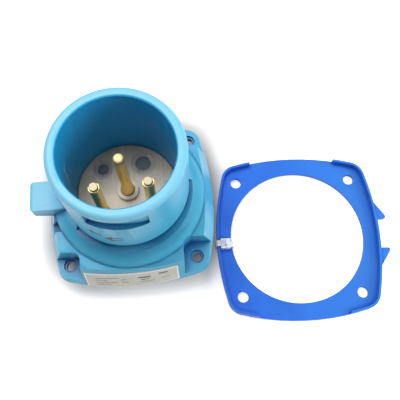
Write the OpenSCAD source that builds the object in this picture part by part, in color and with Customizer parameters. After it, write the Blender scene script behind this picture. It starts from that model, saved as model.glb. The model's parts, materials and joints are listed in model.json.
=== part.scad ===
// Panel inlet for an industrial pin and sleeve coupling.
// A square flanged casing carries a round sleeve; three pins stand on a contact
// carrier inside it. The flange's own gasket lies beside it, with its tie.
// The origin is the centre of the flange's back face, where the panel lies.
// +Z points out of the sleeve's mouth, and -Y is the side with the rating label.

/* [Flange] */
// Distance between neighbouring fixing holes
hole_pitch = 77; // [75:0.5:78]
// Radius of a fixing hole
hole_r = 2.75; // [2.25:0.25:3.25]
// Radius of the counterbore over a fixing hole
counterbore_r = 4.2; // [4:0.1:5]
// Depth of that counterbore
counterbore_depth = 1.5; // [0.5:0.25:2]
// Half the width across the middle of the flange's sides
flange_half = 53; // [52:0.5:56]
// Width of the flange across, as a part of its width from front to back
flange_ratio = 0.975; // [0.95:0.005:1]
// Radius of the arc that each side of the flange bulges to
side_r = 160; // [140:5:200]
// Radius of the flange's corners
corner_r = 9; // [8:0.5:11]
// Thickness of the flange under the corner pockets
pocket_floor = 5; // [4:0.5:7]
// Distance from the axis to the side walls of the corner pockets, across
pocket_x = 30.5; // [29.5:0.5:32]
// Distance from the axis to the end walls of the pockets on the lug's side
lug_pocket_y = 34; // [32:0.5:34]
// Distance from the axis to the end walls of the pockets on the other side
pocket_y = 29.5; // [29:0.5:32]
// Radius of a corner pocket's inner corner
pocket_round = 5; // [3:0.5:8]
// Height of the square skirt
skirt_h = 20; // [18:0.5:22]
// How far the skirt leans in over its height
skirt_lean = 6; // [4:0.5:7]
// Height of the upright foot under the lean
skirt_foot = 1; // [0.5:0.5:2]
// Wall of the hollow skirt
skirt_wall = 3.5; // [2.5:0.5:4]
// Thickness of the ribs inside the skirt
rib_t = 2.5; // [1.5:0.5:3.5]

/* [Sleeve] */
// Outer radius of the sleeve
sleeve_r = 36.5; // [36:0.5:38]
// Height of the sleeve's mouth above the panel
sleeve_top = 86; // [84:1:100]
// Inner radius of the sleeve at its mouth
mouth_r = 30.8; // [30.4:0.1:31.5]
// Rounding of the mouth's outer edge
rim_round = 2.5; // [1:0.25:3]
// Rounding of the mouth's inner edge
rim_ease = 0.8; // [0.4:0.2:1.2]
// Radius of the shoulder dome where it meets the skirt
dome_r = 46; // [45:0.5:47]
// Height of the shoulder dome above the skirt
dome_h = 7; // [6:0.5:8]
// Radius of the arc that the dome's profile follows
dome_arc_r = 14; // [12:0.5:18]
// Radius of the fairing between the dome and the sleeve
fairing_r = 9; // [4:0.5:11]
// Greatest depth of the groove under the sleeve
neck_depth = 3.9; // [2:0.1:4]
// Angle at which the groove is deepest
neck_deepest = 300; // [290:2:310]
// Height of the groove under the sleeve
neck_h = 9; // [6:0.5:12]
// Angle at which the groove begins, with no depth
neck_from = 216; // [200:2:230]
// Angle at which the groove ends in a small step
neck_to = 365; // [350:1:370]

/* [Locking slot] */
// Height of the slot's lower edge
slot_low = 68.4; // [62:0.2:70]
// Height of the slot's upper edge
slot_high = 77; // [75:0.5:80]
// Depth of the slot at its square end
slot_depth = 4; // [2:0.5:4.5]
// Angle of the slot's square end
slot_from = 239; // [225:1:250]
// Angle at which the slot has run out to nothing
slot_to = 293; // [280:1:310]

/* [Latch lug] */
// Distance from the axis to the lug's outer face
lug_reach = 58; // [56:0.5:60]
// Width of the lug
lug_w = 18; // [14:1:20]
// Height of the lug's top above the panel
lug_top = 29.5; // [27:0.5:29.5]
// Height of the lug's outer face
lug_face = 9; // [6:0.5:11]
// How far the lug sits towards -Y from the axis
lug_shift = 1; // [0:0.5:3]
// Rounding of the lug's outer edges
lug_round = 2.5; // [1:0.5:3]
// Distance from the lug to the notch in the skirt beside it
notch_gap = 4; // [1:0.5:5]
// Length of that notch
notch_len = 7; // [5:0.5:8]
// Depth of that notch below the skirt's top
notch_depth = 8; // [4:1:10]

/* [Contact carrier] */
// Radius of the carrier disc
carrier_r = 29.85; // [29.5:0.05:30.1]
// Height of the carrier's face above the panel
carrier_top = 25; // [24:0.5:28]
// Height of the ledge that the carrier's foot seats against
ledge_z = 12; // [11:0.5:14]
// Radius of the carrier's foot
foot_r = 33.2; // [32:0.1:33.6]
// Thickness of the carrier's foot
foot_h = 5; // [4:0.5:5.5]
// Height of the collar round the earth pin
collar_h = 3; // [2:0.5:5]
// Outer radius of that collar
collar_r = 6.5; // [6:0.1:7.5]
// Inner radius of that collar
collar_bore_r = 4.2; // [4:0.1:5]
// Radius of the cord of the seal round the carrier
seal_cord_r = 1.3; // [1:0.1:1.5]
// Gap between parts that slip into each other
fit = 0.1; // [0.05:0.05:0.2]

/* [Pins] */
// Height of the earth pin's tip above the panel
earth_tip = 76; // [70:1:80]
// Height of the line and neutral pins' tips above the panel
side_tip = 74; // [66:0.5:78]
// Radius of the earth pin's shaft
earth_r = 3.05; // [2.5:0.05:3.3]
// Rounding of the earth pin's end
earth_round = 1.4; // [0.5:0.1:2]
// Radius of the line and neutral pins' shafts
side_r_pin = 2.9; // [2.5:0.05:3.2]
// Radius of a pin where it leaves the carrier
pin_base_r = 3.7; // [3.5:0.05:3.9]
// Height of the thicker base above the carrier's face
pin_base_h = 8; // [4:0.5:12]
// Distance from the axis to the line and neutral pins
pin_circle_r = 19.6; // [18.5:0.1:20]
// Angle of those pins to either side of the key
pin_angle = 46; // [42:1:50]
// Turn of the key from -Y, anticlockwise
key_turn = 2.5; // [0:0.5:5]
// Thickness of the silver contact tips
tip_h = 1.8; // [1:0.2:3]
// Radius of the barrel that takes the wire
barrel_r = 4.5; // [4.2:0.1:4.8]
// Radius of the hole for the wire
wire_r = 2.3; // [1.5:0.1:2.4]
// Depth of the hole for the wire
wire_depth = 14; // [10:0.5:15]

/* [Spare positions] */
// Centre of the large spare position, across
large_x = 9.6; // [8.8:0.2:10.4]
// Centre of the large spare position, away from the label side
large_y = 17.4; // [16.8:0.2:18]
// Radius of the large spare position's recess
large_recess_r = 7; // [6:0.5:7.5]
// Radius of the large blanking plug
large_plug_r = 4.4; // [3.5:0.1:4.8]
// Centre of the small spare position, across
small_x = -14.6; // [-15.4:0.2:-13.6]
// Centre of the small spare position, away from the label side
small_y = 15; // [14:0.1:16]
// Radius of the small spare position's recess
small_recess_r = 5.6; // [5:0.1:6]
// Radius of the small blanking plug
small_plug_r = 3.2; // [2.6:0.1:3.6]
// Depth of both recesses
recess_depth = 0.6; // [0.4:0.1:1.2]

/* [Terminal block] */
// Radius of the block behind the carrier
block_r = 28; // [27.5:0.1:28.2]
// How far the block reaches behind the panel
block_drop = 20; // [18:0.5:24]
// Chamfer round the block's rear edge
block_chamfer = 1.5; // [0.5:0.5:2.5]
// Distance from the axis to the two screws that hold the block
block_screw_x = 20; // [19:0.5:21]
// Radius of those screws
block_screw_r = 1.95; // [1.45:0.05:2]
// Radius of their heads
screw_head_r = 3.5; // [3:0.1:3.6]
// Height of their heads
screw_head_h = 2.8; // [2:0.2:3.2]
// Thickness of block under their heads
screw_seat = 10; // [8:1:14]
// Radius of the threaded inserts that take them
insert_r = 3; // [2.8:0.1:3.4]
// Length of those inserts
insert_len = 8; // [6:0.5:10]
// Height of the terminal clamp screws behind the panel
clamp_drop = 9; // [7:0.5:11]
// Radius of the terminal clamp screws
clamp_r = 1.9; // [1.4:0.1:2]
// Length of the terminal clamp screws
clamp_len = 5; // [4:0.5:5.5]

/* [Retaining ring] */
// Thickness of the spring ring that holds the carrier in
ring_t = 1.5; // [1:0.25:2]
// Inner radius of the spring ring
ring_in_r = 30.6; // [30.2:0.1:31]
// Outer radius of the spring ring
ring_out_r = 34.8; // [34.2:0.1:35]
// Angle of the opening in the spring ring
ring_gap = 16; // [12:1:30]

/* [Rating label] */
// Width of the label
label_w = 56; // [40:1:58]
// Height of the label's lower edge above the panel
label_low = 2; // [1.5:0.25:3]
// Height of the label's upper edge above the panel
label_high = 17; // [12:0.5:18]
// Thickness of the label
label_t = 0.3; // [0.2:0.1:0.6]
// How much lower the label was stuck on at its -X end, as an angle
label_slant = 1.8; // [0:0.2:3]

/* [Mounting gasket] */
// Thickness of the gasket's plate
gasket_t = 2.8; // [2:0.2:4]
// Height of the lips that hold the gasket to the flange
lip_h = 4.5; // [3:0.5:6]
// Thickness of those lips
lip_t = 1.5; // [1:0.25:2]
// Gap between the lips and the flange they fit round
lip_gap = 0.3; // [0.1:0.1:0.5]
// Width of the gasket between its opening and the middle of the flange's side
gasket_bar = 9; // [8:0.5:11]
// Radius of the gasket's screw holes
gasket_screw_r = 3.5; // [3:0.25:4]
// Half the length of the sides that have no lip
lip_open = 28.5; // [24:0.5:30]
// How far the pull tabs stand out from the gasket
tab_reach = 6.5; // [4:0.5:8]
// Distance from the middle of the side to a tab's square side
tab_near = 10; // [6:1:14]
// Distance from the middle of the side to the foot of a tab's slope
tab_far = 24; // [20:1:26]
// Thickness of a tab
tab_t = 4; // [2.8:0.2:5]
// Place of the gasket's centre beside the casing
gasket_x = 106; // [104:1:130]
// Place of the gasket's centre towards the label side
gasket_y = -25; // [-30:1:0]
// Turn of the gasket on the surface that it lies on
gasket_turn = -2; // [-5:1:2]

/* [Cable tie] */
// Width of the tie's strap
tie_w = 3.6; // [2.5:0.1:4.8]
// Thickness of the tie's strap
tie_t = 1; // [0.8:0.1:1.3]
// Side of the tie's square head
tie_head = 6.4; // [5:0.2:7]
// Height of the tie's head
tie_head_h = 4.4; // [3:0.2:5]
// Distance from the middle of the gasket's side to the tie
tie_shift = 4; // [-10:1:10]
// Length of the cut tail that stands out of the head
tie_tail = 5; // [2:0.5:8]

/* [Hidden] */

$fn = 72;
eps = 0.5;                 // how far a cutter runs past the face that it opens
skin = 0.02;               // thickness of the slices that a hull joins
blue = [0.30, 0.68, 0.84];
beige = [0.62, 0.58, 0.52];
brass = [0.78, 0.62, 0.30];
silver = [0.80, 0.80, 0.78];
dark_rubber = [0.10, 0.10, 0.11];
gasket_blue = [0.16, 0.40, 0.85];

// Flange outline
side_steps = 10;
corner_steps = 6;
side_shift = side_r - flange_half;
corner_at = (sqrt(2 * pow(side_r - corner_r, 2) - side_shift * side_shift) - side_shift) / 2;
side_half_angle = asin(corner_at / (side_r - corner_r));
hole_at = hole_pitch / 2;
land_r = counterbore_r + skirt_wall;

// Levels along the axis
dome_top = skirt_h + dome_h;
neck_top = dome_top + neck_h;
foot_z = ledge_z - foot_h;
ring_z = foot_z - ring_t;
rest_z = -block_drop;
barrel_z = rest_z + 6;

// The dome's profile: an arc that ends level at the dome's top
dome_arc_z = dome_top - dome_arc_r;
dome_arc_x = dome_r - sqrt(pow(dome_arc_r, 2) - pow(skirt_h - dome_arc_z, 2));
fairing_x = sleeve_r + fairing_r;
fairing_z = dome_arc_z + sqrt(pow(dome_arc_r + fairing_r, 2) - pow(fairing_x - dome_arc_x, 2));
fairing_end = dome_arc_x + (fairing_x - dome_arc_x) * dome_arc_r / (dome_arc_r + fairing_r);

// The notch's side away from the lug
notch_y = -lug_shift - lug_w / 2 - notch_gap - notch_len;

// Radii inside the casing
carrier_bore_r = carrier_r + fit;
foot_bore_r = foot_r + 3 * fit;
ring_bore_r = ring_out_r + 2 * fit;
tube_r = ring_bore_r + 3;

// Pins
shoulder_r = barrel_r + 0.7;
shoulder_h = 3;
line_turn = 270 + key_turn - pin_angle;
neutral_turn = 270 + key_turn + pin_angle;
earth_turn = 90;
contact_r = side_r_pin - 3 * fit;
tip_round = 0.6;
pin_seal_r = 0.95;
pin_seal_z = carrier_top - 8;
carrier_seal_z = (ledge_z + carrier_top) / 2;

// Gasket and tie
gasket_grow = lip_gap + lip_t;
gasket_hole_r = flange_half - gasket_bar;
gasket_half = flange_half + gasket_grow;
gasket_half_x = flange_ratio * gasket_half;
gasket_tilt = asin((tie_t + 2 * fit) / (gasket_half_x + gasket_hole_r));
tie_outer = -gasket_half_x - fit;
tie_inner = -sqrt(pow(gasket_hole_r, 2) - pow(abs(tie_shift) + tie_w / 2, 2)) + fit;

// ---- Shared shapes ----

// One side and one corner of the flange's outline, moved in by inset
function quarter_outline(inset) = concat(
    [for (i = [0:side_steps])
        let (a = side_half_angle * (2 * i / side_steps - 1), r = side_r - inset)
        [r * cos(a) - side_shift, r * sin(a)]],
    [for (i = [1:corner_steps - 1])
        let (a = side_half_angle + (90 - 2 * side_half_angle) * i / corner_steps,
             r = max(corner_r - inset, skin))
        [corner_at + r * cos(a), corner_at + r * sin(a)]]
);

function turned(p, a) = [p.x * cos(a) - p.y * sin(a), p.x * sin(a) + p.y * cos(a)];

// The flange's bulged square, moved in by inset
module bulged_square(inset = 0)
    polygon([for (q = [0:3]) for (p = quarter_outline(inset))
        let (t = turned(p, 90 * q)) [flange_ratio * t.x, t.y]]);

// The land that the flange keeps round each fixing hole, moved in by inset
module hole_lands(inset) at_fixing_holes() circle(max(land_r - inset, skin), $fn = 48);

// The skirt's leaning block, moved in by inset and stopped at a height
module skirt_block(inset = 0, top = skirt_h, bottom = 0)
    hull() {
        translate([0, 0, bottom]) linear_extrude(skirt_foot - bottom) {
            bulged_square(inset);
            hole_lands(inset);
        }
        translate([0, 0, top - skin])
            linear_extrude(skin) bulged_square(inset + skirt_lean * top / skirt_h);
    }

// A wedge of a circle from one angle to another, for cutting a sector
module sector(from, to, r = 80)
    polygon(concat([[0, 0]], [for (i = [0:6]) let (a = from + (to - from) * i / 6)
        [r * cos(a), r * sin(a)]]));

module at_fixing_holes()
    for (sx = [-1, 1], sy = [-1, 1]) translate([sx * hole_at, sy * hole_at]) children();

module at_block_screws()
    for (s = [-1, 1]) translate([s * block_screw_x, 0, 0]) children();

module at_line_pin() translate(pin_circle_r * [cos(line_turn), sin(line_turn), 0]) children();
module at_neutral_pin() translate(pin_circle_r * [cos(neutral_turn), sin(neutral_turn), 0]) children();

// Points a clamp screw outwards from its pin, in the direction a
module facing(a) rotate([0, 0, a]) rotate([0, 90, 0]) children();

module o_ring(middle_r, cord_r) rotate_extrude() translate([middle_r, 0]) circle(cord_r, $fn = 24);

// ---- Casing ----

module shoulder_and_sleeve()
    rotate_extrude($fn = 144) {
        square([tube_r, skirt_h]);
        translate([0, skirt_h - skirt_wall]) square([dome_r, skirt_wall]);
        square([dome_arc_x, dome_top]);
        intersection() {
            translate([dome_arc_x, dome_arc_z]) circle(dome_arc_r, $fn = 96);
            translate([0, skirt_h - eps]) square([dome_r, dome_h + 2 * eps]);
        }
        square([sleeve_r - rim_round, sleeve_top]);
        square([sleeve_r, sleeve_top - rim_round]);
        translate([sleeve_r - rim_round, sleeve_top - rim_round]) circle(rim_round, $fn = 32);
        difference() {
            translate([sleeve_r - eps, skirt_h])
                square([fairing_end - sleeve_r + eps, fairing_z - skirt_h]);
            translate([fairing_x, fairing_z]) circle(fairing_r, $fn = 64);
        }
    }

// The lug: its side view, cut to its plan view, which has round corners
module latch_lug()
    translate([0, -lug_shift, 0]) intersection() {
        rotate([90, 0, 0]) linear_extrude(lug_w, center = true) {
            polygon([
                [-lug_reach + lug_round, lug_top], [-sleeve_r + 1, lug_top], [-sleeve_r + 1, skirt_h - 2],
                [-dome_r, skirt_h - 2], [-lug_reach, lug_top - lug_face], [-lug_reach, lug_top - lug_round]
            ]);
            translate([-lug_reach + lug_round, lug_top - lug_round]) circle(lug_round, $fn = 32);
        }
        linear_extrude(lug_top + eps) {
            translate([-lug_reach, -lug_w / 2 + lug_round]) square([lug_reach, lug_w - 2 * lug_round]);
            translate([-lug_reach + lug_round, -lug_w / 2]) square([lug_reach, lug_w]);
            for (s = [-1, 1])
                translate([-lug_reach + lug_round, s * (lug_w / 2 - lug_round)]) circle(lug_round, $fn = 32);
        }
    }

// The notch in the skirt beside the lug, where the dome's wall stays
module latch_notch()
    translate([0, 0, skirt_h - notch_depth]) linear_extrude(notch_depth + eps) difference() {
        translate([-flange_half - 1, notch_y]) square([flange_half, notch_len]);
        circle(dome_r - 0.6, $fn = 144);
    }

// A square pocket, open towards the corner, with a round inner corner
module pocket_plan(from_x, from_y)
    difference() {
        translate([from_x, from_y]) square(flange_half);
        difference() {
            translate([from_x - eps, from_y - eps]) square(pocket_round + eps);
            translate([from_x + pocket_round, from_y + pocket_round]) circle(pocket_round, $fn = 64);
        }
    }

// The pockets over the four fixing holes, or with grow the walls round them
module corner_pockets(grow = 0, floor_z = pocket_floor)
    translate([0, 0, floor_z]) linear_extrude(lug_top) for (sy = [0, 1]) mirror([0, sy]) {
        pocket_plan(pocket_x - grow, pocket_y - grow);
        mirror([1, 0]) pocket_plan(pocket_x - grow, lug_pocket_y - grow);
    }

module skirt_hollow()
    difference() {
        skirt_block(skirt_wall, skirt_h - skirt_wall, -eps);
        translate([0, 0, -2 * eps]) cylinder(r = tube_r, h = skirt_h, $fn = 144);
        corner_pockets(skirt_wall, -2 * eps);
        for (a = [0:90:270]) rotate(a)
            translate([0, -rib_t / 2, -2 * eps]) cube([flange_half, rib_t, skirt_h]);
        translate([-flange_half, notch_y - skirt_wall, skirt_h - notch_depth - skirt_wall])
            cube([flange_half, notch_len + 2 * skirt_wall, skirt_h]);
    }

// The locking slot: an off-centre round leaves it deep at one end and nothing at the other
module locking_slot() {
    turn = slot_to - 270;
    shift = slot_depth / -cos(slot_from - turn);
    translate([0, 0, slot_low]) linear_extrude(slot_high - slot_low) difference() {
        sector(slot_from, slot_to);
        translate(shift * [cos(turn), sin(turn)]) circle(sleeve_r, $fn = 144);
    }
}

// The groove under the sleeve: its bottom is an off-centre round, so it starts with no depth
module neck_groove() {
    shift = neck_depth / (1 - cos(neck_deepest - neck_from));
    translate([0, 0, dome_top]) linear_extrude(neck_h) difference() {
        sector(neck_from, neck_to);
        translate(-shift * [cos(neck_deepest), sin(neck_deepest)])
            circle(sleeve_r + shift - neck_depth, $fn = 144);
    }
}

module casing() color(blue)
    difference() {
        union() {
            skirt_block();
            shoulder_and_sleeve();
            latch_lug();
        }
        skirt_hollow();
        corner_pockets();
        latch_notch();
        at_fixing_holes() {
            translate([0, 0, -eps]) cylinder(r = hole_r, h = pocket_floor + 2 * eps);
            translate([0, 0, pocket_floor - counterbore_depth])
                cylinder(r = counterbore_r, h = counterbore_depth + eps);
        }
        translate([0, 0, -eps]) cylinder(r = foot_bore_r, h = ledge_z + eps, $fn = 144);
        translate([0, 0, ring_z - fit]) cylinder(r = ring_bore_r, h = ring_t + 2 * fit, $fn = 144);
        translate([0, 0, ledge_z - eps])
            cylinder(r = carrier_bore_r, h = carrier_top - ledge_z + 2 * eps, $fn = 144);
        translate([0, 0, carrier_top])
            cylinder(r1 = carrier_bore_r, r2 = mouth_r, h = sleeve_top - rim_ease - carrier_top, $fn = 144);
        translate([0, 0, sleeve_top - rim_ease - skin])
            cylinder(r1 = mouth_r, r2 = mouth_r + rim_ease + eps, h = rim_ease + eps + skin, $fn = 144);
        neck_groove();
        locking_slot();
    }

// ---- Contact carrier ----

module pin_hole(seal_room = true) {
    translate([0, 0, foot_z - eps]) cylinder(r = pin_base_r + fit, h = carrier_top + collar_h, $fn = 48);
    translate([0, 0, foot_z - eps]) cylinder(r = shoulder_r + fit, h = shoulder_h + eps + fit, $fn = 48);
    if (seal_room) translate([0, 0, pin_seal_z - pin_seal_r - fit])
        cylinder(r = pin_base_r + 2 * pin_seal_r + 2 * fit, h = 2 * (pin_seal_r + fit), $fn = 48);
}

module spare_hole(x, y, recess_r, plug_r) translate([x, y, 0]) {
    translate([0, 0, carrier_top - recess_depth]) cylinder(r = recess_r, h = recess_depth + eps);
    translate([0, 0, carrier_top - 8]) cylinder(r = plug_r + fit, h = 8, $fn = 48);
    translate([0, 0, foot_z - eps]) cylinder(r = plug_r * 0.7 + fit, h = carrier_top - foot_z, $fn = 48);
}

module contact_carrier() color(beige)
    difference() {
        union() {
            translate([0, 0, foot_z]) cylinder(r = foot_r, h = foot_h, $fn = 144);
            translate([0, 0, ledge_z - eps])
                cylinder(r = carrier_r, h = carrier_top - ledge_z + eps, $fn = 144);
            cylinder(r = collar_r, h = carrier_top + collar_h);
        }
        translate([0, 0, -eps]) cylinder(r = collar_r + eps, h = foot_z + eps);
        translate([0, 0, carrier_top]) cylinder(r = collar_bore_r, h = collar_h + eps);
        pin_hole();
        at_line_pin() pin_hole();
        at_neutral_pin() pin_hole();
        spare_hole(large_x, large_y, large_recess_r, large_plug_r);
        spare_hole(small_x, small_y, small_recess_r, small_plug_r);
        at_block_screws() translate([0, 0, foot_z - eps]) cylinder(r = insert_r + fit, h = insert_len + eps + fit, $fn = 32);
        translate([0, 0, carrier_seal_z]) rotate_extrude($fn = 144)
            translate([carrier_r - 2 * seal_cord_r + fit, -seal_cord_r - fit])
                square([2 * seal_cord_r + eps, 2 * (seal_cord_r + fit)]);
    }

module carrier_seal() color(dark_rubber)
    translate([0, 0, carrier_seal_z])
        rotate_extrude($fn = 144) translate([carrier_r - seal_cord_r, 0]) translate([fit / 2, 0])
            circle(seal_cord_r - fit, $fn = 24);

module retaining_ring() color(silver)
    translate([0, 0, ring_z]) linear_extrude(ring_t) difference() {
        union() {
            difference() {
                circle(ring_out_r, $fn = 144);
                circle(ring_in_r, $fn = 144);
                sector(90 - ring_gap / 2, 90 + ring_gap / 2);
            }
            for (s = [-1, 1]) rotate(s * (ring_gap / 2 + 4)) translate([0, ring_in_r + 0.4]) circle(2.2, $fn = 32);
        }
        for (s = [-1, 1]) rotate(s * (ring_gap / 2 + 4)) translate([0, ring_in_r + 0.4]) circle(0.9, $fn = 24);
    }

// ---- Pins ----

// A turned pin: barrel behind the carrier, shoulder, thicker base, shaft and its end
module turned_pin(tip, shaft_r, end_round, clamp_turn)
    difference() {
        rotate_extrude($fn = 48) {
            translate([0, barrel_z]) square([barrel_r, foot_z - barrel_z]);
            translate([0, foot_z]) square([shoulder_r, shoulder_h]);
            translate([0, foot_z]) square([pin_base_r, carrier_top + pin_base_h - foot_z]);
            polygon([
                [0, carrier_top + pin_base_h - eps], [pin_base_r, carrier_top + pin_base_h],
                [shaft_r, carrier_top + pin_base_h + 1.5], [0, carrier_top + pin_base_h + 1.5]
            ]);
            translate([0, carrier_top]) square([shaft_r, tip - carrier_top - end_round]);
            translate([0, carrier_top]) square([shaft_r - end_round, tip - carrier_top]);
            if (end_round > 0) translate([shaft_r - end_round, tip - end_round]) circle(end_round, $fn = 32);
        }
        translate([0, 0, barrel_z - eps]) cylinder(r = wire_r, h = wire_depth + eps, $fn = 32);
        translate([0, 0, -clamp_drop]) facing(clamp_turn) cylinder(r = clamp_r + fit, h = barrel_r + eps, $fn = 32);
    }

module earth_pin() color(brass) turned_pin(earth_tip, earth_r, earth_round, earth_turn);
module line_pin() color(brass) at_line_pin() turned_pin(side_tip - tip_h, side_r_pin, 0, line_turn);
module neutral_pin() color(brass)
    at_neutral_pin() turned_pin(side_tip - tip_h, side_r_pin, 0, neutral_turn);

// A silver contact tip, with its edge rounded over
module contact_tip()
    translate([0, 0, side_tip - tip_h]) rotate_extrude($fn = 48) {
        square([contact_r, tip_h - tip_round]);
        square([contact_r - tip_round, tip_h]);
        translate([contact_r - tip_round, tip_h - tip_round]) circle(tip_round, $fn = 24);
    }

module line_pin_tip() color(silver) at_line_pin() contact_tip();
module neutral_pin_tip() color(silver) at_neutral_pin() contact_tip();

module pin_seal() translate([0, 0, pin_seal_z]) o_ring(pin_base_r + pin_seal_r + fit / 2, pin_seal_r);

module pin_seals() color(dark_rubber) {
    pin_seal();
    at_line_pin() pin_seal();
    at_neutral_pin() pin_seal();
}

// A blanking plug: a head in the recess's mouth and a stem that fills the hole below it
module blanking_plug(x, y, r) translate([x, y, 0]) {
    translate([0, 0, carrier_top - 8]) cylinder(r = r, h = 8 - recess_depth - 0.2, $fn = 48);
    translate([0, 0, foot_z]) cylinder(r = r * 0.7, h = carrier_top - 8 - foot_z, $fn = 48);
}

module large_blanking_plug() color(dark_rubber) blanking_plug(large_x, large_y, large_plug_r);
module small_blanking_plug() color(dark_rubber) blanking_plug(small_x, small_y, small_plug_r);

// ---- Terminal block and its screws ----

module barrel_room(turn, access) {
    translate([0, 0, rest_z - eps]) cylinder(r = barrel_r + fit, h = foot_z - rest_z + 2 * eps, $fn = 48);
    translate([0, 0, -clamp_drop]) facing(turn) cylinder(r = clamp_r + 0.6, h = access, $fn = 32);
}

module terminal_block() color([0.25, 0.26, 0.28])
    difference() {
        union() {
            translate([0, 0, rest_z + block_chamfer])
                cylinder(r = block_r, h = foot_z - rest_z - block_chamfer, $fn = 144);
            translate([0, 0, rest_z])
                cylinder(r1 = block_r - block_chamfer, r2 = block_r, h = block_chamfer, $fn = 144);
        }
        barrel_room(earth_turn, block_r + eps);
        at_line_pin() barrel_room(line_turn, block_r);
        at_neutral_pin() barrel_room(neutral_turn, block_r);
        at_block_screws() {
            translate([0, 0, rest_z - eps]) cylinder(r = block_screw_r + 2 * fit, h = foot_z - rest_z + 2 * eps, $fn = 32);
            translate([0, 0, rest_z - eps])
                cylinder(r = screw_head_r + 0.5, h = foot_z - screw_seat - rest_z + eps, $fn = 32);
        }
    }

module block_screws() color(silver)
    at_block_screws() difference() {
        union() {
            translate([0, 0, foot_z - screw_seat - screw_head_h]) cylinder(r = screw_head_r, h = screw_head_h, $fn = 48);
            translate([0, 0, foot_z - screw_seat]) cylinder(r = block_screw_r, h = screw_seat + 0.75 * insert_len, $fn = 32);
        }
        translate([-screw_head_r - eps, -0.5, foot_z - screw_seat - screw_head_h - eps])
            cube([2 * (screw_head_r + eps), 1, 1 + eps]);
    }

module screw_inserts() color(brass)
    at_block_screws() translate([0, 0, foot_z]) difference() {
        cylinder(r = insert_r, h = insert_len, $fn = 32);
        translate([0, 0, -eps]) cylinder(r = block_screw_r + fit / 2, h = insert_len + 2 * eps, $fn = 32);
    }

// A headless screw that clamps the wire in its barrel
module clamp_screw(turn)
    translate([0, 0, -clamp_drop]) facing(turn) translate([0, 0, wire_r + 0.3]) difference() {
        cylinder(r = clamp_r, h = clamp_len, $fn = 32);
        translate([-clamp_r - eps, -0.4, clamp_len - 1]) cube([2 * (clamp_r + eps), 0.8, 1 + eps]);
    }

module earth_clamp_screw() color(silver) clamp_screw(earth_turn);
module line_clamp_screw() color(silver) at_line_pin() clamp_screw(line_turn);
module neutral_clamp_screw() color(silver) at_neutral_pin() clamp_screw(neutral_turn);

// ---- Rating label ----

module rating_label() color([0.80, 0.78, 0.70])
    difference() {
        intersection() {
            skirt_block(-label_t);
            translate([label_w / 2 - 1, 0, label_low]) rotate([0, -label_slant, 0])
                translate([-label_w, -flange_half - 2 * label_t - 1, 0])
                    cube([label_w, flange_half / 2, label_high - label_low]);
        }
        skirt_block();
    }

// ---- Mounting gasket and its tie ----

module on_the_gasket()
    translate([gasket_x, gasket_y, rest_z + gasket_half_x * sin(gasket_tilt)])
        rotate([0, gasket_tilt, gasket_turn]) children();

module pull_tab()
    linear_extrude(tab_t) polygon([
        [gasket_half_x - 2, tab_near], [gasket_half_x + tab_reach - 0.8, tab_near],
        [gasket_half_x + tab_reach, tab_near + 0.8], [gasket_half_x + tab_reach - 0.5, tab_near + 2.5],
        [gasket_half_x - 2, tab_far]
    ]);

module mounting_gasket() color(gasket_blue)
    on_the_gasket() difference() {
        union() {
            linear_extrude(gasket_t) bulged_square(-gasket_grow);
            linear_extrude(gasket_t + lip_h) difference() {
                bulged_square(-gasket_grow);
                bulged_square(-lip_gap);
                square([2 * lip_open, 3 * gasket_half], center = true);
            }
            pull_tab();
            mirror([0, 1, 0]) pull_tab();
        }
        translate([0, 0, -eps]) cylinder(r = gasket_hole_r, h = gasket_t + 2 * eps, $fn = 144);
        at_fixing_holes() translate([0, 0, -eps]) cylinder(r = gasket_screw_r, h = gasket_t + 2 * eps, $fn = 32);
    }

// The strap's line, seen along the bar that it goes round
function tie_line(grow) = [
    [tie_outer - grow, -fit - grow],
    [tie_outer - grow, gasket_t + lip_h + fit],
    [tie_outer + fit, gasket_t + lip_h + fit + grow],
    [tie_outer + lip_t + 1.2, gasket_t + lip_h + fit + grow],
    [tie_inner - 2, gasket_t + 2 * fit + grow],
    [tie_inner + grow, gasket_t + 2 * fit + grow / 2],
    [tie_inner + grow, -fit - grow]
];

module cable_tie() color([0.85, 0.89, 0.95])
    on_the_gasket() translate([0, -tie_shift, 0]) {
        rotate([90, 0, 0]) linear_extrude(tie_w, center = true) difference() {
            polygon(tie_line(tie_t));
            polygon(tie_line(0));
        }
        translate([(tie_outer + tie_inner) / 2 + 0.6, 0, gasket_t + fit]) {
            translate([-tie_head / 2, -tie_head / 2, 0]) cube([tie_head, tie_head, tie_head_h]);
            translate([0, 0, tie_head_h - eps]) translate([-tie_t / 2, -tie_w / 2, 0])
                cube([tie_t, tie_w, tie_tail + eps]);
        }
    }

casing();
contact_carrier();
carrier_seal();
retaining_ring();
earth_pin();
line_pin();
neutral_pin();
line_pin_tip();
neutral_pin_tip();
pin_seals();
large_blanking_plug();
small_blanking_plug();
terminal_block();
block_screws();
screw_inserts();
earth_clamp_screw();
line_clamp_screw();
neutral_clamp_screw();
rating_label();
mounting_gasket();
cable_tie();
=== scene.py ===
# %% [markdown]
# # A panel inlet and its gasket
# The imported model is a fixed frame: every solid is already at its real size and place,
# in metres. This script gives each one its finish, and rebuilds the pieces whose edges and
# surfaces need more than plain solids have.

# %% Load the frame
import bmesh
import bpy
import json
import math
from mathutils import Matrix, Vector
from mathutils.bvhtree import BVHTree
from mathutils.geometry import interpolate_bezier


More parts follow.
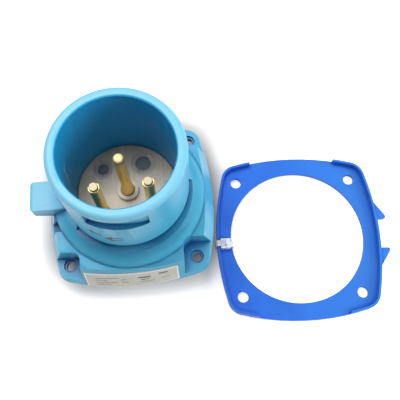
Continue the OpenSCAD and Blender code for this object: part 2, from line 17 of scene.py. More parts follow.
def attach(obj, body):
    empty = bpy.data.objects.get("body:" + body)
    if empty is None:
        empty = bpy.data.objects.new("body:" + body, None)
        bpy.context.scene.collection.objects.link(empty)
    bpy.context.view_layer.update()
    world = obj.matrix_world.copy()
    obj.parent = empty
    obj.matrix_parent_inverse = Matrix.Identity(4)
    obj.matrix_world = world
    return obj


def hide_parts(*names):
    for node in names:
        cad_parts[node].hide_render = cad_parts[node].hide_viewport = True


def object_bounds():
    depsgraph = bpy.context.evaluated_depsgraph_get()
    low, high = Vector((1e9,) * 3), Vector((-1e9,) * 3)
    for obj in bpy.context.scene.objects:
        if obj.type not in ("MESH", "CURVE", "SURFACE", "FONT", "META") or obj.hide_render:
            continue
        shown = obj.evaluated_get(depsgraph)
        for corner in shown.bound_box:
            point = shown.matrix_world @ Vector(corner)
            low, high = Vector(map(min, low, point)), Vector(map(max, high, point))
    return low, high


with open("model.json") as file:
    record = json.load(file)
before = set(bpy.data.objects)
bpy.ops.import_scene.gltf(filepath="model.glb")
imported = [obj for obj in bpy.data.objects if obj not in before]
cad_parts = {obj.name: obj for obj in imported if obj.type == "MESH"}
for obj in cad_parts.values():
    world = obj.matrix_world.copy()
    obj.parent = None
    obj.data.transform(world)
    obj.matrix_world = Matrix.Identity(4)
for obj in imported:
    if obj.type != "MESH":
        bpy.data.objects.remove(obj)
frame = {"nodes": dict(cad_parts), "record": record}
CAD_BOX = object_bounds()
NODES = frame["nodes"]
scene = bpy.context.scene
MM = 0.001


def in_mm(box):
    return [round(v / MM, 1) for corner in box for v in corner]


print("solids:", len(NODES), "box in mm:", in_mm(CAD_BOX))

# %% [markdown]
# ## Camera
# The inlet is seen from high in front, a little to its right, from arm's length. A camera is
# placed by its position and by two directions, the way back from the object and the way up;
# the third follows from them.

# %% Camera
CAMERA_AT = Vector((0.0301, -0.1213, 0.3572))
CAMERA_BACK = Vector((-0.035, -0.320, 0.947)).normalized()
CAMERA_UP = Vector((0.072, 0.9445, 0.322))
CAMERA_LENS = 52.9


def make_camera():
    right = CAMERA_UP.cross(CAMERA_BACK).normalized()
    up = CAMERA_BACK.cross(right)
    data = bpy.data.cameras.new("camera")
    data.lens = CAMERA_LENS
    data.clip_start = 0.01
    camera = bpy.data.objects.new("camera", data)
    turn = Matrix((right, up, CAMERA_BACK)).transposed().to_4x4()
    camera.matrix_world = Matrix.Translation(CAMERA_AT) @ turn
    scene.collection.objects.link(camera)
    scene.camera = camera
    return camera


camera = make_camera()
print("camera at", [round(v, 3) for v in camera.location])

# %% [markdown]
# ## Floor, air and lamps
# The inlet stands on white paper in a bright room. Floor, air and finishes are all trees of
# nodes, so a few helpers come first. One adds a node and sets or links its inputs, and those
# built on it give back the output that the next node needs.

# %% Node helpers
def new_material(name):
    material = bpy.data.materials.new(name)
    material.use_nodes = True
    material.node_tree.nodes.clear()
    return material, material.node_tree


def add(tree, kind, **sockets):
    """A node of that kind. An input goes by its name, or as i0, i1 by its number: a value is
    stored in it, and a socket is linked to it."""
    node = tree.nodes.new(kind)
    for key, value in sockets.items():
        by_number = key[0] == "i" and key[1:].isdigit()
        target = node.inputs[int(key[1:]) if by_number else key]
        if isinstance(value, bpy.types.NodeSocket):
            tree.links.new(value, target)
        else:
            target.default_value = value
    return node


def maths(tree, operation, first, second=0.0):
    node = add(tree, "ShaderNodeMath", i0=first, i1=second)
    node.operation = operation
    return node.outputs["Value"]


def vector_maths(tree, operation, first, second=(0, 0, 0)):
    """Maths on vectors. A length or a distance comes out as a number."""
    node = add(tree, "ShaderNodeVectorMath", i0=first, i1=second)
    node.operation = operation
    return node.outputs["Value" if operation in ("LENGTH", "DISTANCE") else "Vector"]


def range_of(tree, value, low, high, start=0.3, end=0.7, smooth=False):
    """A number that runs from low to high as the value runs from start to end."""
    node = add(tree, "ShaderNodeMapRange", Value=value)
    node.interpolation_type = "SMOOTHSTEP" if smooth else "LINEAR"
    node.inputs["From Min"].default_value = start
    node.inputs["From Max"].default_value = end
    node.inputs["To Min"].default_value = low
    node.inputs["To Max"].default_value = high
    return node.outputs["Result"]


def direct_or_mirrored(tree):
    """1 for what is seen straight, through glass or in a mirror; 0 for light that bounces on."""
    path = add(tree, "ShaderNodeLightPath")
    seen = path.outputs["Is Camera Ray"]
    for ray in ("Is Glossy Ray", "Is Transmission Ray"):
        seen = maths(tree, "MAXIMUM", seen, path.outputs[ray])
    return seen


print("node helpers ready")

# %% [markdown]
# Paper that is lit by lamps alone is grey away from them, and lamps strong enough to make it
# white would burn out the inlet. So the floor is a pale diffuse sheet that adds some light of
# its own, and more of it far away. It does so only where it is looked at, and still takes a
# soft shadow. Under the flange the sheet's colour is painted dim as shade, so the screw holes
# look down into shade. Its dim patch is a square with round corners: the reach of a point is
# the root of the length of its squared coordinates.

# %% Floor
FLOOR_Z = CAD_BOX[0].z
FLOOR_HALF = 3
SHADE_CENTRE = (0, 10 * MM, 0)
SHADE_REACH = (44 * MM, 76 * MM)
FAR_REACH = (0.3, 1.2)
PAPER_SHADE_TONE = (0.25, 0.90)
OWN_LIGHT = (0.55, 1.0)


def make_floor():
    material, tree = new_material("white_paper")
    place = add(tree, "ShaderNodeTexCoord")
    apart = vector_maths(tree, "SUBTRACT", place.outputs["Object"], SHADE_CENTRE)
    squared = vector_maths(tree, "MULTIPLY", apart, apart)
    reach = maths(tree, "POWER", vector_maths(tree, "LENGTH", squared), 0.5)
    unshaded = range_of(tree, reach, 0.0, 1.0, *SHADE_REACH, smooth=True)
    # painted shade: the paper's colour is dim under the flange
    paper = add(tree, "ShaderNodeBsdfDiffuse", Color=range_of(tree, unshaded, *PAPER_SHADE_TONE, 0, 1))
    seen = maths(tree, "MULTIPLY", direct_or_mirrored(tree), unshaded)
    strength = maths(tree, "MULTIPLY", seen, range_of(tree, reach, *OWN_LIGHT, *FAR_REACH))
    own = add(tree, "ShaderNodeEmission", Color=(1, 1, 1, 1), Strength=strength)
    both = add(tree, "ShaderNodeAddShader", i0=paper.outputs[0], i1=own.outputs[0])
    add(tree, "ShaderNodeOutputMaterial", Surface=both.outputs[0])
    bm = bmesh.new()
    bmesh.ops.create_grid(bm, x_segments=1, y_segments=1, size=FLOOR_HALF)
    bmesh.ops.translate(bm, verts=bm.verts, vec=(0, 0, FLOOR_Z))
    mesh = bpy.data.meshes.new("floor")
    bm.to_mesh(mesh)
    bm.free()
    floor = bpy.data.objects.new("floor", mesh)
    scene.collection.objects.link(floor)
    mesh.materials.append(material)


make_floor()
print("floor at", round(FLOOR_Z / MM, 1), "mm")

# %% [markdown]
# The air is a weak, slightly blue light from all round, which keeps the shadows open. One plain
# colour is enough, as no surface here is a clear mirror. Where the air is looked at it is plain
# white, and that also gives the metal a white room to mirror.

# %% Air
def make_world():
    world = bpy.data.worlds.new("studio")
    world.use_nodes = True
    tree = world.node_tree
    tree.nodes.clear()
    air = add(tree, "ShaderNodeBackground", Color=(0.93, 0.96, 1.0, 1), Strength=0.30)
    white = add(tree, "ShaderNodeBackground", Color=(1, 1, 1, 1), Strength=1.0)
    mix = add(tree, "ShaderNodeMixShader", i0=direct_or_mirrored(tree),
              i1=air.outputs[0], i2=white.outputs[0])
    add(tree, "ShaderNodeOutputWorld", Surface=mix.outputs[0])
    scene.world = world


make_world()
scene.view_settings.view_transform = "Standard"
print("world:", scene.world.name)

# %% [markdown]
# A sun or a point would draw hard shadows, so the lamps are round areas, wide for their
# distance. The key lamp stands behind on the left and draws the light along the rim. The fill
# lamp low on the right lights that flank without a highlight, and a weak lamp in front opens
# the shadows on the near side.

# %% Lamps
def make_lamp(name, place, aim, size, watts, shines=True):
    """A round lamp. One that doesn't shine lights a surface and leaves no highlight on it."""
    data = bpy.data.lights.new(name, "AREA")
    data.shape = "DISK"
    data.size = size
    data.energy = watts
    lamp = bpy.data.objects.new(name, data)
    way = Vector(aim) - Vector(place)
    turn = way.to_track_quat("-Z", "Y").to_matrix().to_4x4()
    lamp.matrix_world = Matrix.Translation(place) @ turn
    lamp.visible_glossy = shines
    scene.collection.objects.link(lamp)


make_lamp("key_lamp", (-0.17, 0.25, 0.80), (0, 0, 0.03), size=0.6, watts=6.2)
make_lamp("fill_lamp", (0.74, -0.12, 0.34), (0.03, 0, 0.03), size=0.5, watts=4.2, shines=False)
make_lamp("front_lamp", (0.20, -0.42, 0.70), (0, 0, 0.05), size=0.5, watts=0.8)
print("lamps: key, fill and front")

# %% [markdown]
# ## Finishes
# Each finish is a small node tree on Object coordinates, in metres, so a pattern keeps its real
# size. A noise is spread between two colours or turned into a fine relief, and further colours
# are laid over it in soft windows. A window is bounded by edges, and an edge is a value that
# runs from a start, where the window is shut, to an end, where it is open. The value can be a
# coordinate in mm, the distance from the axis, or how much of the open air a point sees.

# %% Pattern helpers
def place_of(tree, stretch=(1, 1, 1)):
    """Object coordinates, stretched per axis."""
    coordinates = add(tree, "ShaderNodeTexCoord")
    mapping = add(tree, "ShaderNodeMapping", Vector=coordinates.outputs["Object"], Scale=stretch)
    return mapping.outputs["Vector"]


def axes_of(tree):
    """A point's x, y and z in mm."""
    place = add(tree, "ShaderNodeSeparateXYZ", Vector=place_of(tree, (1 / MM, 1 / MM, 1 / MM)))
    return [place.outputs[key] for key in "XYZ"]


def noise(tree, per_metre, detail=3.0, roughness=0.55, stretch=(1, 1, 1)):
    node = add(tree, "ShaderNodeTexNoise", Vector=place_of(tree, stretch), Scale=per_metre,
               Detail=detail, Roughness=roughness)
    return node.outputs["Fac"]


def spread(tree, fac, low, high, from_fac=0.35, to_fac=0.65):
    """A colour that runs from low to high as fac runs over a range."""
    ramp = add(tree, "ShaderNodeValToRGB", Fac=fac)
    ramp.color_ramp.elements[0].position = from_fac
    ramp.color_ramp.elements[1].position = to_fac
    ramp.color_ramp.elements[0].color = (*low, 1)
    ramp.color_ramp.elements[1].color = (*high, 1)
    return ramp.outputs["Color"]


def window(tree, most, *edges):
    """A share that is 0 outside and most inside of all the edges (value, start, end)."""
    share = most
    for value, start, end in edges:
        share = maths(tree, "MULTIPLY", range_of(tree, value, 0.0, 1.0, start, end), share)
    return share


def relief(tree, height, depth, strength=1.0, under=None):
    """A bump of that depth in metres, on top of another one when given."""
    node = add(tree, "ShaderNodeBump", Height=height, Distance=depth, Strength=strength)
    if under is not None:
        tree.links.new(under, node.inputs["Normal"])
    return node.outputs["Normal"]


def blend(tree, share, below, above):
    """One colour over another, by a share from 0 to 1; each colour is a socket or (r, g, b)."""
    node = tree.nodes.new("ShaderNodeMix")
    node.data_type = "RGBA"
    tree.links.new(share, node.inputs[0])
    for socket, color in ((node.inputs[6], below), (node.inputs[7], above)):
        if isinstance(color, bpy.types.NodeSocket):
            tree.links.new(color, socket)
        else:
            socket.default_value = (*color, 1)
    return node.outputs[2]


def layered(tree, color, layers):
    """A colour with others (share, colour) laid over it, one after the other."""
    for share, above in layers:
        color = blend(tree, share, color, above)
    return color


def openness(tree, distance):
    """How much of the air within that distance a point sees: 0 in a hole, 1 in the open."""
    node = add(tree, "ShaderNodeAmbientOcclusion", Distance=distance)
    node.samples = 8
    return node.outputs["AO"]


def finish_with(tree, **sockets):
    """A Principled shader with those sockets, joined to the output."""
    shader = add(tree, "ShaderNodeBsdfPrincipled",
                 **{key.replace("_", " "): value for key, value in sockets.items()})
    add(tree, "ShaderNodeOutputMaterial", Surface=shader.outputs[0])


print("pattern helpers ready")

# %% [markdown]
# ### Moulded casing
# Glass-filled polyester in sky blue: faint clouds of a greener and a lighter blue from the flow
# of the melt, and a satin skin with a very fine orange peel. The rim, the lug and the sleeve's
# left side are painted paler, as a painted highlight and sheen. Hollows, crevices, the bore, the
# foot of the sleeve in front and the line at the dome's foot are painted a deeper blue as shade.
# The bore's left wall is scuffed where the coupler's nose has rubbed, and is painted a lighter
# blue low down, which takes back part of that painted shade. All this could be painted by hand,
# but windows on coordinates follow the casing's own sizes and hold up from any distance.

# %% Casing plastic
# painted highlight and sheen on the rim, the lug top and the sleeve's left side
PAINTED_HIGHLIGHT_BLUE = (0.185, 0.500, 0.670)
# painted shade for hollows, crevices and the line at the dome's foot
HOLLOW_SHADE_BLUE = (0.003, 0.130, 0.370)
BORE_SHADE_BLUE = (0.003, 0.260, 0.540)
FOOT_SHADE_BLUE = (0.004, 0.150, 0.300)
CREVICE_SHADE_BLUE = (0.001, 0.060, 0.190)
LOW_BORE_LIGHT_BLUE = (0.060, 0.360, 0.540)
RUBBED_BLUE = (0.32, 0.58, 0.76)


def make_casing_plastic():
    material, tree = new_material("casing_plastic")
    x, y, z = axes_of(tree)
    flat = add(tree, "ShaderNodeCombineXYZ", X=x, Y=y)
    radius = vector_maths(tree, "LENGTH", flat.outputs[0])
    clouds = noise(tree, 35, detail=4)
    scuffs = noise(tree, 300, detail=6, roughness=0.7, stretch=(1.0, 1.0, 0.12))
    outside = (radius, 30.9, 31.4)
    inside = (radius, 31.5, 31.2)
    left = (x, -10, -20)
    # painted highlight and sheen: the sleeve's left side, the rim and the lug top are made paler
    sleeve = window(tree, 0.45, (z, 38, 47), outside, (x, 22, -5))
    rim = window(tree, 0.85, (z, 82, 85), outside)
    lug = window(tree, 0.95, (x, -38, -47), (z, 21, 25))
    # painted shade in hollows, from how little open air a point sees
    hollow_shade = window(tree, 0.95, (openness(tree, 18 * MM), 0.92, 0.25))
    # painted shade inside the bore
    bore = window(tree, 0.85, inside)
    # painted shadow on the dome under the front of the sleeve
    foot = window(tree, 0.70, (radius, 43.5, 38.0), (radius, 31.4, 31.8),
                  (z, 20.4, 22.0), (z, 37.0, 35.8), (y, -12, -33))
    # painted shade along the step at the dome's foot
    line = window(tree, 0.55, (radius, 44.9, 45.7), (radius, 47.0, 46.3),
                  (z, 18.6, 19.2), (z, 22.4, 21.4))
    # painted shade in narrow crevices, such as the slot and the groove
    crevice_shade = window(tree, 0.95, (openness(tree, 10 * MM), 0.84, 0.35))
    # painted lighter low on the bore's left, over part of the painted shade there
    low_bore_light = window(tree, 0.50, (z, 56, 26), left, inside)
    rubbed = window(tree, 0.55, (scuffs, 0.54, 0.64), (maths(tree, "ABSOLUTE", y), 11, 3),
                    (z, 40, 48), (z, 72, 62), left, inside)
    color = layered(tree, spread(tree, clouds, (0.046, 0.335, 0.510), (0.062, 0.375, 0.560)), (
        (sleeve, PAINTED_HIGHLIGHT_BLUE), (rim, PAINTED_HIGHLIGHT_BLUE), (lug, PAINTED_HIGHLIGHT_BLUE), (hollow_shade, HOLLOW_SHADE_BLUE),
        (bore, BORE_SHADE_BLUE), (foot, FOOT_SHADE_BLUE), (line, FOOT_SHADE_BLUE), (crevice_shade, CREVICE_SHADE_BLUE),
        (low_bore_light, LOW_BORE_LIGHT_BLUE), (rubbed, RUBBED_BLUE),
    ))
    peel = relief(tree, noise(tree, 700, detail=2), 0.00006, 0.5)
    skin = relief(tree, noise(tree, 3500, detail=2), 0.000012, 0.6, peel)
    finish_with(tree, Base_Color=color, Normal=skin,
                Roughness=range_of(tree, noise(tree, 90), 0.30, 0.40),
                Specular_IOR_Level=range_of(tree, window(tree, 1.0, inside), 0.28, 0.12, 0, 1))
    return material


finishes = {"casing_plastic": make_casing_plastic()}
print("made", *finishes)

# %% [markdown]
# ### Carrier, seals and block
# The carrier is pressed from a beige moulding compound, so it is speckled with its filler. It
# has faint tool marks across it. Its far side is painted darker as shade, and painted shade lies
# round its two spare positions. The block behind and the plugs are plain dark insulating plastic.

# %% Carrier, seals and block
SPARE_PLACES = (((9.6, 17.4), 7.0), ((-14.6, 15.0), 5.6))


def make_carrier_plastic():
    material, tree = new_material("carrier_plastic")
    y = axes_of(tree)[1]
    clouds = noise(tree, 60, detail=5, roughness=0.65)
    streaks = noise(tree, 520, detail=3, stretch=(1.0, 0.05, 1.0))
    specks = add(tree, "ShaderNodeTexVoronoi", Vector=place_of(tree), Scale=1400)
    base = spread(tree, clouds, (0.590, 0.500, 0.390), (0.740, 0.635, 0.500), 0.38, 0.62)
    layers = [
        (window(tree, 0.35, (specks.outputs["Distance"], 0.28, 0.10)), (0.30, 0.25, 0.21)),
        # painted shade: darker towards the far side
        (window(tree, 0.80, (y, -4, 27)), (0.180, 0.165, 0.130)),
    ]
    flat = place_of(tree, (1 / MM, 1 / MM, 0))
    for spot, reach in SPARE_PLACES:
        away = vector_maths(tree, "DISTANCE", flat, (*spot, 0))
        # painted shade round each spare position's recess
        recess_shade = window(tree, 0.70, (away, 1.30 * reach, 0.75 * reach))
        layers.append((recess_shade, (0.170, 0.165, 0.165)))
    layers.append((window(tree, 0.30, (streaks, 0.50, 0.70)), (0.74, 0.63, 0.51)))
    marks = relief(tree, streaks, 0.00010, 0.8)
    grain = relief(tree, noise(tree, 2200, detail=3), 0.00003, 0.5, marks)
    finish_with(tree, Base_Color=layered(tree, base, layers), Normal=grain,
                Roughness=range_of(tree, clouds, 0.32, 0.46), Specular_IOR_Level=0.5)
    return material


def make_rubber(name, low, high, roughness):
    material, tree = new_material(name)
    clouds = noise(tree, 80, detail=4)
    grain = relief(tree, noise(tree, 1800, detail=3), 0.00003, 0.6)
    finish_with(tree, Base_Color=spread(tree, clouds, low, high), Normal=grain,
                Roughness=range_of(tree, clouds, roughness, roughness + 0.12),
                Specular_IOR_Level=0.4)
    return material


finishes["carrier_plastic"] = make_carrier_plastic()
for name, low, high, roughness in (
    ("seal_rubber", (0.030, 0.034, 0.042), (0.050, 0.055, 0.066), 0.55),
    ("blank_plastic", (0.070, 0.084, 0.108), (0.100, 0.117, 0.145), 0.45),
    ("block_plastic", (0.040, 0.041, 0.044), (0.060, 0.061, 0.065), 0.42),
):
    finishes[name] = make_rubber(name, low, high, roughness)
print("finishes so far:", len(finishes))

# %% [markdown]
# ### Metals
# Turned brass carries fine rings round its axis, so the noise is stretched flat: it changes
# quickly along Z and hardly at all across. Plated steel has the same with less colour. The
# brass is duller above a level that the long pin passes by 4 mm and the short pins by a hair.
# Real grooves would be far too fine to model, and a relief bends the light in the same way.

# %% Metals
TIP_LEVEL = 72


def make_turned_metal(name, low, high, roughness, tip=None):
    """Turned metal. With a tip colour, it takes that and is rougher above TIP_LEVEL."""
    material, tree = new_material(name)
    tarnish = noise(tree, 160, detail=4, roughness=0.6)
    turning = noise(tree, 6000, detail=2, stretch=(0.02, 0.02, 1.0))
    color = spread(tree, tarnish, low, high)
    rough = range_of(tree, tarnish, roughness, roughness + 0.10)
    if tip:
        above = (axes_of(tree)[2], TIP_LEVEL, TIP_LEVEL + 1)
        color = blend(tree, window(tree, 0.85, above), color, tip)
        rough = maths(tree, "ADD", rough, window(tree, 0.30, above))
    finish_with(tree, Base_Color=color, Metallic=1.0, Roughness=rough,
                Normal=relief(tree, turning, 0.00001, 0.5))
    return material


for name, low, high, roughness, tip in (
    ("pin_brass", (0.93, 0.62, 0.17), (1.00, 0.74, 0.28), 0.27, (0.46, 0.37, 0.22)),
    ("contact_silver", (0.300, 0.250, 0.170), (0.355, 0.300, 0.210), 0.50, None),
    ("spring_steel", (0.38, 0.38, 0.37), (0.50, 0.50, 0.49), 0.30, None),
    ("screw_steel", (0.50, 0.50, 0.49), (0.62, 0.62, 0.60), 0.26, None),
):
    finishes[name] = make_turned_metal(name, low, high, roughness, tip)
print("finishes so far:", len(finishes))

# %% [markdown]
# ### Label, gasket and tie
# The label is a warm white film. The gasket is a blue elastomer, painted paler towards the end
# away from the casing as light, and painted deep blue as shade in the corner behind its lips.
# The tie is natural nylon, so light goes some way into it.

# %% Label, gasket and tie
def make_gasket_rubber():
    material, tree = new_material("gasket_rubber")
    x = axes_of(tree)[0]
    base = spread(tree, noise(tree, 45), (0.010, 0.108, 0.545), (0.016, 0.135, 0.620))
    color = layered(tree, base, (
        # painted light: paler towards the end away from the casing
        (window(tree, 0.80, (x, 70, 150)), (0.036, 0.190, 0.620)),
        # painted shade in the corner behind the lips
        (window(tree, 0.85, (openness(tree, 4 * MM), 0.90, 0.45)), (0.003, 0.055, 0.400)),
    ))
    finish_with(tree, Base_Color=color, Roughness=range_of(tree, noise(tree, 120), 0.42, 0.52),
                Normal=relief(tree, noise(tree, 2600, detail=2), 0.00002, 0.5),
                Specular_IOR_Level=0.22)
    return material


def make_label_film():
    material, tree = new_material("label_film")
    clouds = noise(tree, 120, detail=3)
    finish_with(tree, Base_Color=spread(tree, clouds, (0.46, 0.44, 0.38), (0.54, 0.52, 0.46)),
                Normal=relief(tree, noise(tree, 500), 0.00003, 0.4),
                Roughness=range_of(tree, clouds, 0.28, 0.38))
    return material


def make_nylon():
    material, tree = new_material("tie_nylon")
    clouds = noise(tree, 300, detail=2)
    finish_with(tree, Base_Color=spread(tree, clouds, (0.76, 0.82, 0.94), (0.88, 0.92, 0.99)),
                Roughness=range_of(tree, clouds, 0.25, 0.38), Transmission_Weight=0.25, IOR=1.45,
                Normal=relief(tree, noise(tree, 1500), 0.00002, 0.4))
    return material


finishes["label_film"] = make_label_film()
finishes["gasket_rubber"] = make_gasket_rubber()
finishes["tie_nylon"] = make_nylon()
for part in frame["record"]["subparts"]:
    solid = NODES[part["node"]]
    solid.data.materials.clear()
    solid.data.materials.append(finishes[part["material_slot"]])
SLOT_OF = {part["node"]: part["material_slot"] for part in frame["record"]["subparts"]}
print("solids with a finish:", len(SLOT_OF))

# %% [markdown]
# ## Softened pieces
# The frame's meshes are loose flat triangles. A softened piece joins them, makes one face of
# each flat area again, keeps only its real corners sharp, and rounds those corners with the
# radius that the moulding or the lathe leaves. It takes the place of the solid it came from.

# %% Softening helpers
SHARP = math.radians(28)
FLAT = math.radians(0.4)
WELD = 0.004 * MM


def as_piece(bm, name, material):
    """A finished mesh as an object at the origin that rides with the inlet."""
    mesh = bpy.data.meshes.new(name)
    bm.to_mesh(mesh)
    bm.free()
    mesh.shade_smooth()
    mesh.set_sharp_from_angle(angle=SHARP)
    piece = bpy.data.objects.new(name, mesh)
    scene.collection.objects.link(piece)
    mesh.materials.append(finishes[material])
    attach(piece, "root")
    return piece


def joined(name):
    """A solid's mesh with its triangles joined and its flat areas made one face each."""
    bm = bmesh.new()
    bm.from_mesh(NODES[name].data)
    bmesh.ops.remove_doubles(bm, verts=bm.verts, dist=WELD)
    bmesh.ops.dissolve_limit(bm, angle_limit=FLAT, verts=bm.verts, edges=bm.edges,
                             use_dissolve_boundaries=False)
    return bm


print("softening helpers ready")

# %% [markdown]
# ### The locking slot
# The sleeve's locking slot is a little taller than in the solid, and deeper towards the end
# where it runs out. So the corners on its two levels move up or down, and those on its floor
# move inwards. Cutting the slot anew could leave slivers in the sleeve, and moving its corners
# cannot.

# %% Locking slot
SLEEVE_R = 36.5
SLOT_LEVELS = {68.4: 67.4, 77.0: 79.6}
SLOT_FROM, SLOT_TO = 238, 294
SLOT_DEPTH, SLOT_FLOOR_R = 4.0, 32.2
ON_LEVEL = 0.02
ON_FLOOR = 0.1


def open_up_slot(bm):
    """Moves the slot's corners; levels are in mm and angles in degrees."""
    for vert in bm.verts:
        radius = math.hypot(vert.co.x, vert.co.y) / MM
        turn = math.degrees(math.atan2(vert.co.y, vert.co.x)) % 360
        height = vert.co.z / MM
        level = next((z for z in SLOT_LEVELS if abs(height - z) < ON_LEVEL), None)
        if level is None or radius < SLOT_FLOOR_R or not SLOT_FROM < turn < SLOT_TO:
            continue
        vert.co.z = SLOT_LEVELS[level] * MM
        depth = SLEEVE_R - radius
        if depth > ON_FLOOR:
            shift = (SLEEVE_R - SLOT_DEPTH * math.sqrt(depth / SLOT_DEPTH)) / radius
            vert.co.x *= shift
            vert.co.y *= shift


print("slot goes from", list(SLOT_LEVELS), "to", list(SLOT_LEVELS.values()), "mm")

# %% [markdown]
# ### Rounding
# A subdivided mesh would round everything alike. A bevel that starts from an angle rounds only
# real corners and leaves flat areas flat, so each piece needs no more than its own radius. The
# gasket and the casing have the widest, the turned pins and the screws the narrowest.

# %% Softened pieces
ROUNDING = {
    "casing": 0.45, "contact_carrier": 0.25, "terminal_block": 0.30, "mounting_gasket": 0.55,
    "earth_pin": 0.15, "line_pin": 0.15, "neutral_pin": 0.15, "large_blanking_plug": 0.4,
    "small_blanking_plug": 0.4, "block_screws": 0.12, "cable_tie": 0.3,
}
ROUND_STEPS = 3


def softened(name, rounding):
    """Rebuilds a solid with its real corners rounded, and puts that in its place."""
    slot = SLOT_OF[name]
    material = "blank_plastic" if name.endswith("blanking_plug") else slot
    bm = joined(name)
    if name == "casing":
        open_up_slot(bm)
    piece = as_piece(bm, name + "_soft", material)
    bevel = piece.modifiers.new("rounding", "BEVEL")
    bevel.width = rounding
    bevel.segments = ROUND_STEPS
    bevel.limit_method = "ANGLE"
    bevel.angle_limit = SHARP
    bevel.harden_normals = True
    bevel.use_clamp_overlap = True
    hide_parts(name)


for name, rounding in ROUNDING.items():
    softened(name, rounding * MM)
print("softened:", *ROUNDING)

# %% [markdown]
# ## Marks on the surfaces
# Two arrows are marked on the sleeve, some grey bars on the label, and the bore has a few fine
# scratches. Each shape is drawn flat in millimetres, cut into narrow strips so that it can bend,
# and then every corner is sent straight at the surface and stays just above where it meets it.

# %% Laying flat shapes on a surface
LIFT = 0.03 * MM
STRIP_WIDTH = 1.0


def tree_of(name):
    """A solid's surface, to send rays at."""
    bm = bmesh.new()
    bm.from_mesh(NODES[name].data)
    tree = BVHTree.FromBMesh(bm)
    bm.free()
    return tree


def laid_on(surface, shapes, send):
    """Flat shapes, given as corners (u, v) in mm, laid on a surface. send(u, v) gives the start
    and the way of the ray for a corner."""
    bm = bmesh.new()
    for corners in shapes:
        bm.faces.new([bm.verts.new((u, v, 0)) for u, v in corners])
    low = min(v.co.x for v in bm.verts)
    high = max(v.co.x for v in bm.verts)
    for i in range(1, math.ceil((high - low) / STRIP_WIDTH)):
        bmesh.ops.bisect_plane(bm, geom=bm.verts[:] + bm.edges[:] + bm.faces[:],
                               plane_co=(low + i * STRIP_WIDTH, 0, 0), plane_no=(1, 0, 0))
    for vert in bm.verts:
        start, way = send(vert.co.x, vert.co.y)
        spot, normal, _, _ = surface.ray_cast(start, way)
        vert.co = spot + normal * LIFT
    bmesh.ops.recalc_face_normals(bm, faces=bm.faces)
    return bm


print("laying helpers ready")

# %% [markdown]
# The marks are print or wear with no thickness to see. Each is one thin colour, a little patchy
# where it has rubbed off. The scratches are paler than the casing, since a scratch turns blue
# plastic white.

# %% Marks' finishes
def make_ink(name, color):
    """A thin, slightly patchy colour."""
    material, tree = new_material(name)
    patchy = noise(tree, 1500, detail=3)
    low = tuple(0.75 * c for c in color)
    finish_with(tree, Base_Color=spread(tree, patchy, low, color), Roughness=0.5)
    return material


for name, color in (
    ("arrow_ink", (0.014, 0.050, 0.075)), ("faint_ink", (0.018, 0.095, 0.150)),
    ("scratch", (0.42, 0.86, 1.00)), ("label_ink", (0.30, 0.27, 0.235)),
    ("label_dark_ink", (0.12, 0.11, 0.10)), ("label_edge", (0.86, 0.84, 0.80)),
):
    finishes[name] = make_ink(name, color)
print("finishes in all:", len(finishes))

# %% [markdown]
# Both arrows point the same way round the sleeve. The second is smaller and fainter. They could
# be windows in the casing's finish, but flat shapes keep their points and edges sharp.

# %% Arrows on the sleeve
HEAD_SHARE = 0.45
LINE_SHARE = 0.32
ROUND_SLEEVE_R = 60


def bar(u, v, length, height):
    return [(u, v), (u + length, v), (u + length, v + height), (u, v + height)]


def arrow(tip, level, length, half, shaft):
    """An arrow that points to -u: a solid head and a shaft of two lines. half is half of the
    head's width, and shaft is half of the gap between the lines."""
    neck = tip + HEAD_SHARE * length
    end = tip + length
    line = LINE_SHARE * half
    return [
        [(tip, level), (neck, level - half), (neck, level + half)],
        bar(neck, level + shaft, end - neck, line),
        bar(neck, level - shaft - line, end - neck, line),
    ]


def at_sleeve(u, v):
    """u runs round the sleeve, as an arc length from its front; v is the height. The rays start
    on a wider circle, ROUND_SLEEVE_R, and go to the axis."""
    angle = math.radians(-90) + u / SLEEVE_R
    out = Vector((math.cos(angle), math.sin(angle), 0))
    return (out * ROUND_SLEEVE_R + Vector((0, 0, v))) * MM, -out


casing_surface = tree_of("casing")
for name, ink, marks in (
    ("main_arrow", "arrow_ink", arrow(tip=-12.4, level=48.2, length=10.6, half=4.8, shaft=1.3)),
    ("second_arrow", "faint_ink", arrow(tip=-22.0, level=52.2, length=8.8, half=3.8, shaft=0.8)),
):
    piece = as_piece(laid_on(casing_surface, marks, at_sleeve), name, ink)
    print(name, "has", len(piece.data.polygons), "faces")

# %% [markdown]
# The scratches are on the left of the bore, where the coupler's nose has rubbed. Each is a
# curve from its first point to its last, and the two between them are its handles.

# %% Scratches in the bore
SCRATCH_WIDTH = 1.1
SCRATCH_POINTS = 14
BLUNT_END = 0.15
SCRATCHES = (
    ([(-6.0, 62.0), (0.0, 66.5), (1.6, 57.0), (3.9, 47.5)], 1.0),
    ([(-1.7, 58.0), (-1.0, 52.0), (1.0, 48.6), (5.6, 48.0)], 1.0),
    ([(6.4, 52.0), (7.0, 47.0), (9.0, 44.6), (11.6, 43.2)], 0.7),
)


def stroke(points, width):
    """A thin line along a curve, widest in the middle, as one shape for each step of it."""
    path = interpolate_bezier(*(Vector(p) for p in points), SCRATCH_POINTS)
    widths = [max(math.sin(math.pi * i / (len(path) - 1)), BLUNT_END) for i in range(len(path))]
    shapes = []
    for i, (a, b) in enumerate(zip(path, path[1:])):
        across = (b - a).orthogonal().normalized() * 0.5 * width
        near, far = across * widths[i], across * widths[i + 1]
        shapes.append([a - near, b - far, b + far, a + near])
    return shapes


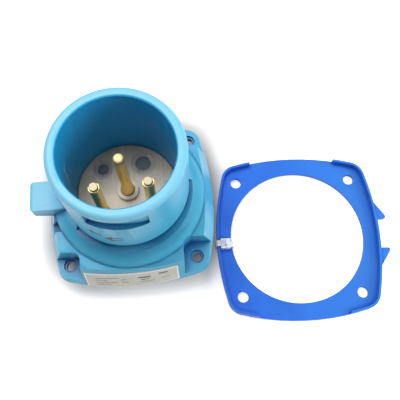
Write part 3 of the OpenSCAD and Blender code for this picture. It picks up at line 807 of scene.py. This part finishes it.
def at_bore(u, v):
    """u runs round the bore from its left, as an arc length at SLEEVE_R; v is the height."""
    angle = math.pi + u / SLEEVE_R
    return Vector((0, 0, v)) * MM, Vector((math.cos(angle), math.sin(angle), 0))


scratches = []
for points, share in SCRATCHES:
    scratches += stroke(points, share * SCRATCH_WIDTH)
as_piece(laid_on(casing_surface, scratches, at_bore),
         "bore_scratches", "scratch")
print("scratches:", len(SCRATCHES))

# %% [markdown]
# The label has no words: bars stand for its lines of print, and a paler edge runs round it. It
# hangs a little askew, so its own axes are turned by a small angle.

# %% Bars on the label
LABEL_LEFT_LOW = (-28.97, 0.24)
LABEL_SLANT = math.radians(1.8)
LABEL_SIZE = (56, 15)
BEFORE_LABEL_Y = -80


def at_label(u, v):
    """u and v run along the label's lower edge and up it, from its lower left corner. The rays
    start in front of it and go straight back."""
    x = LABEL_LEFT_LOW[0] + u * math.cos(LABEL_SLANT) - v * math.sin(LABEL_SLANT)
    z = LABEL_LEFT_LOW[1] + u * math.sin(LABEL_SLANT) + v * math.cos(LABEL_SLANT)
    return Vector((x, BEFORE_LABEL_Y, z)) * MM, Vector((0, 1, 0))


def edge_bars(inset, width):
    """Four bars round the label, that far in from its edges."""
    long, high = (side - 2 * inset for side in LABEL_SIZE)
    upright = high - 2 * width
    return [
        bar(inset, inset, long, width), bar(inset, inset + high - width, long, width),
        bar(inset, inset + width, width, upright),
        bar(inset + long - width, inset + width, width, upright),
    ]


label_surface = tree_of("rating_label")
grey = [bar(6, 3.0 + 2.3 * i, length, 0.9) for i, length in enumerate((9, 13, 7, 14))]
grey += [
    bar(21, 5.0, 4.5, 0.9), bar(21, 8.0, 3.5, 0.9), bar(32, 4.2, 9, 0.8), bar(45, 5.5, 5, 0.8),
]
dark = [bar(31.5, 8.6, 7.5, 1.6), bar(33, 6.6, 5, 0.8), bar(44, 10.4, 5.5, 1.5)]
for name, ink, bars in (
    ("label_grey_bars", "label_ink", grey), ("label_dark_bars", "label_dark_ink", dark),
    ("label_edges", "label_edge", edge_bars(0.15, 0.9)),
):
    as_piece(laid_on(label_surface, bars, at_label), name, ink)
print("label bars:", len(grey) + len(dark))
